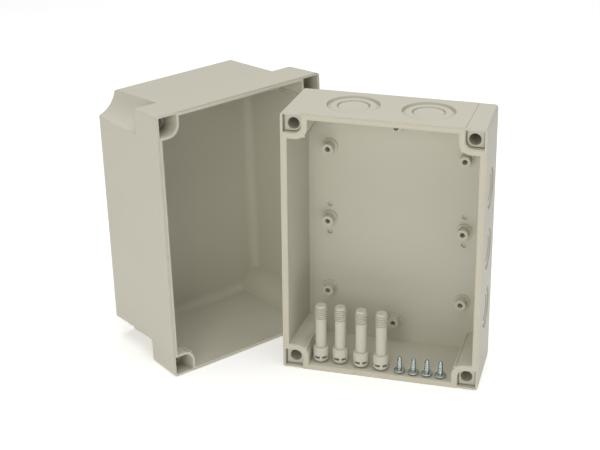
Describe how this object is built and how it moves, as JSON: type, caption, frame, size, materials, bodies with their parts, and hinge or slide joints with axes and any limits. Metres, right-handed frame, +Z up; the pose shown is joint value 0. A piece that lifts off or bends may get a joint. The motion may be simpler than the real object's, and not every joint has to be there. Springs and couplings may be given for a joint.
{
  "type": "electrical junction box",
  "caption": "Moulded plastic junction box shown open: shallow base with bosses and knockouts, deep cover with notched corners, loose cover and mounting screws.",
  "frame": {"origin": "centre of the base's lower end wall, on the surface it stands on", "axes": "+Z up, along the base's length; +Y towards the base's wall side; the base's opening faces -Y"},
  "size_m": [0.2583, 0.1494, 0.18],
  "materials": {
    "grey_plastic": "fine moulded satin, light warm grey",
    "foam_seal": "soft foamed seal, matt pale cream",
    "zinc_steel": "bright zinc plate with a slight blue tint"
  },
  "bodies": {
    "base": {"base": "grey_plastic", "base_seal": "foam_seal"},
    "cover": {"cover": "grey_plastic"},
    "cover_screw_1": {"cover_screw_1": "grey_plastic"},
    "cover_screw_2": {"cover_screw_2": "grey_plastic"},
    "cover_screw_3": {"cover_screw_3": "grey_plastic"},
    "cover_screw_4": {"cover_screw_4": "grey_plastic"},
    "mounting_screw_1": {"mounting_screw_1": "zinc_steel"},
    "mounting_screw_2": {"mounting_screw_2": "zinc_steel"},
    "mounting_screw_3": {"mounting_screw_3": "zinc_steel"},
    "mounting_screw_4": {"mounting_screw_4": "zinc_steel"}
  },
  "joints": [
    {"name": "cover_withdraw", "type": "slide", "parent": "base", "child": "cover", "axis": [-0.8133, 0.5818, 0], "range_m": [0, 0.12]},
    {"name": "cover_screw_1_lift", "type": "slide", "parent": "base", "child": "cover_screw_1", "axis": [0, 0, 1], "range_m": [0, 0.04]},
    {"name": "cover_screw_2_lift", "type": "slide", "parent": "base", "child": "cover_screw_2", "axis": [0, 0, 1], "range_m": [0, 0.04]},
    {"name": "cover_screw_3_lift", "type": "slide", "parent": "base", "child": "cover_screw_3", "axis": [0, 0, 1], "range_m": [0, 0.04]},
    {"name": "cover_screw_4_lift", "type": "slide", "parent": "base", "child": "cover_screw_4", "axis": [0, 0, 1], "range_m": [0, 0.04]},
    {"name": "mounting_screw_1_lift", "type": "slide", "parent": "base", "child": "mounting_screw_1", "axis": [0, 0, 1], "range_m": [0, 0.013]},
    {"name": "mounting_screw_2_lift", "type": "slide", "parent": "base", "child": "mounting_screw_2", "axis": [0, 0, 1], "range_m": [0, 0.013]},
    {"name": "mounting_screw_3_lift", "type": "slide", "parent": "base", "child": "mounting_screw_3", "axis": [0, 0, 1], "range_m": [0, 0.013]},
    {"name": "mounting_screw_4_lift", "type": "slide", "parent": "base", "child": "mounting_screw_4", "axis": [0, 0, 1], "range_m": [0, 0.013]}
  ]
}
